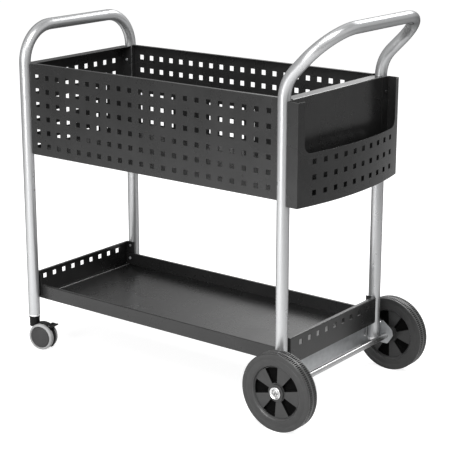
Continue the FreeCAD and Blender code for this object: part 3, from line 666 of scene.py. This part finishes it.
HEAD_MESH = cross_head(HEAD_R, HEAD_TALL)
HEAD_TWIST = 0.7
SCREW_APART = 16 * MM
HEADS = {
    "basket_screws": ("bracket_zinc", inward),
    "shelf_screws": ("bracket_zinc", inward),
    "bracket_screws": ("bright_steel", outward),
    "pocket_screws": ("panel_black", rearward),
}
for node, (slot, way_at) in HEADS.items():
    heads = bmesh.new()
    for number, (low, high) in enumerate(solids_of(node, SCREW_APART)):
        middle = (low + high) / 2
        way = way_at(middle)
        half_long = abs((high - low).dot(way)) / 2
        seat = middle + way * (half_long - HEAD_TALL)
        turn = way.to_track_quat("Z", "Y").to_matrix().to_4x4()
        twist = Matrix.Rotation(HEAD_TWIST * number, 4, "Z")
        copy = HEAD_MESH.copy()
        copy.transform(Matrix.Translation(seat) @ turn @ twist)
        heads.from_mesh(copy)
        bpy.data.meshes.remove(copy)
    mesh = bpy.data.meshes.new(node.replace("screws", "screw_heads"))
    heads.to_mesh(mesh)
    heads.free()
    smooth_by_angle(mesh, limit=32)
    new_piece(mesh.name, mesh, slot, "cart", [node])


# Studio

def seen_level(tree, camera, mirror, other):
    """Strength for camera rays, for glossy and transmission rays, and for all others."""
    path = add_node(tree, "ShaderNodeLightPath").outputs
    level = other
    for ray, value in (("Is Glossy Ray", mirror), ("Is Transmission Ray", mirror),
                       ("Is Camera Ray", camera)):
        level = slope(tree, path[ray], 0, 1, level, value)
    return level


# Brightness of the sky in mirror images: from and to along an axis of the direction, and the level at
# each.
SKY = (("X", -0.61, -0.52, 0.28, 1.75), ("X", -0.40, 0.20, 1.05, 0.4), ("Z", 0.45, 0.70, 1.0, 0.4))


def studio_world(fill):
    """White background over an even fill light."""
    world = bpy.data.worlds.new("studio")
    bpy.context.scene.world = world
    world.use_nodes = True
    tree = world.node_tree
    background = tree.nodes["Background"]
    background.inputs["Color"].default_value = grey(1.0)
    place = add_node(tree, "ShaderNodeTexCoord").outputs["Generated"]
    axes = add_node(tree, "ShaderNodeSeparateXYZ", Vector=place).outputs
    mirror = 1.0
    for axis, *spans in SKY:
        part = slope(tree, axes[axis], *spans)
        mirror = operate(tree, "ShaderNodeMath", "MULTIPLY", mirror, part)
    feed(tree, background.inputs["Strength"], seen_level(tree, 1, mirror, fill))


# Place on the floor whose mirror image is brightest, and the distances over which that fades.
BRIGHT_SPOT = (-0.5, -1.4, 0)
FADE = (0.6, 2.3)


def pale_floor(size, albedo, glow, near, far):
    """Pale floor with the cart's soft shadow; its mirror image fades from near to far."""
    mesh = bpy.data.meshes.new("floor")
    half = size / 2
    mesh.from_pydata([(-half, -half, 0), (half, -half, 0), (half, half, 0), (-half, half, 0)], [],
                     [(0, 1, 2, 3)])
    floor = bpy.data.objects.new("floor", mesh)
    bpy.context.scene.collection.objects.link(floor)
    material = bpy.data.materials.new("floor_white")
    material.use_nodes = True
    tree = material.node_tree
    tree.nodes.remove(tree.nodes["Principled BSDF"])
    matte = add_node(tree, "ShaderNodeBsdfDiffuse", Color=grey(albedo))
    place = add_node(tree, "ShaderNodeTexCoord").outputs["Object"]
    distance = operate(tree, "ShaderNodeVectorMath", "DISTANCE", place, BRIGHT_SPOT)
    mirror = slope(tree, distance, *FADE, near, far)
    light = add_node(tree, "ShaderNodeEmission", Strength=seen_level(tree, glow, mirror, 0))
    both = add_node(tree, "ShaderNodeAddShader")
    for socket, shader in zip(both.inputs, (matte, light)):
        feed(tree, socket, shader.outputs[0])
    feed(tree, tree.nodes["Material Output"].inputs["Surface"], both.outputs[0])
    mesh.materials.append(material)


def softbox(name, spot, aim, size, power):
    """Rectangular area lamp facing a point."""
    lamp = bpy.data.lights.new(name, "AREA")
    lamp.shape = "RECTANGLE"
    lamp.size, lamp.size_y = size
    lamp.energy = power
    obj = bpy.data.objects.new(name, lamp)
    obj.location = spot
    obj.rotation_euler = (Vector(aim) - Vector(spot)).to_track_quat("-Z", "Y").to_euler()
    bpy.context.scene.collection.objects.link(obj)


studio_world(fill=0.3)
pale_floor(size=60, albedo=0.6, glow=0.85, near=0.98, far=0.06)
softbox("key", spot=(0.0, -3.3, 1.25), aim=(0, 0, 1.25), size=(1.2, 2.2), power=55)
softbox("top", spot=(1.1, -1.5, 3.2), aim=(0.2, 0, 0.3), size=(2.4, 1.8), power=90)
softbox("back", spot=(0.1, 3.0, 2.9), aim=(0, 0, 0.7), size=(2.2, 0.9), power=60)

# Camera solved from the photograph: millimetres of lens and sensor, metres, and degrees.
LENS, SENSOR = 112.98, 36
EYE = (2.26928, -2.92115, 1.44322)
DOWN, TURN = 15.7425, 37.5576
camera_data = bpy.data.cameras.new("camera")
camera_data.sensor_width = SENSOR
camera_data.lens = LENS
camera = bpy.data.objects.new("camera", camera_data)
camera.location = EYE
camera.rotation_euler = (math.radians(90 - DOWN), 0, math.radians(TURN))
bpy.context.scene.collection.objects.link(camera)
bpy.context.scene.camera = camera
bpy.context.scene.view_settings.view_transform = "Standard"
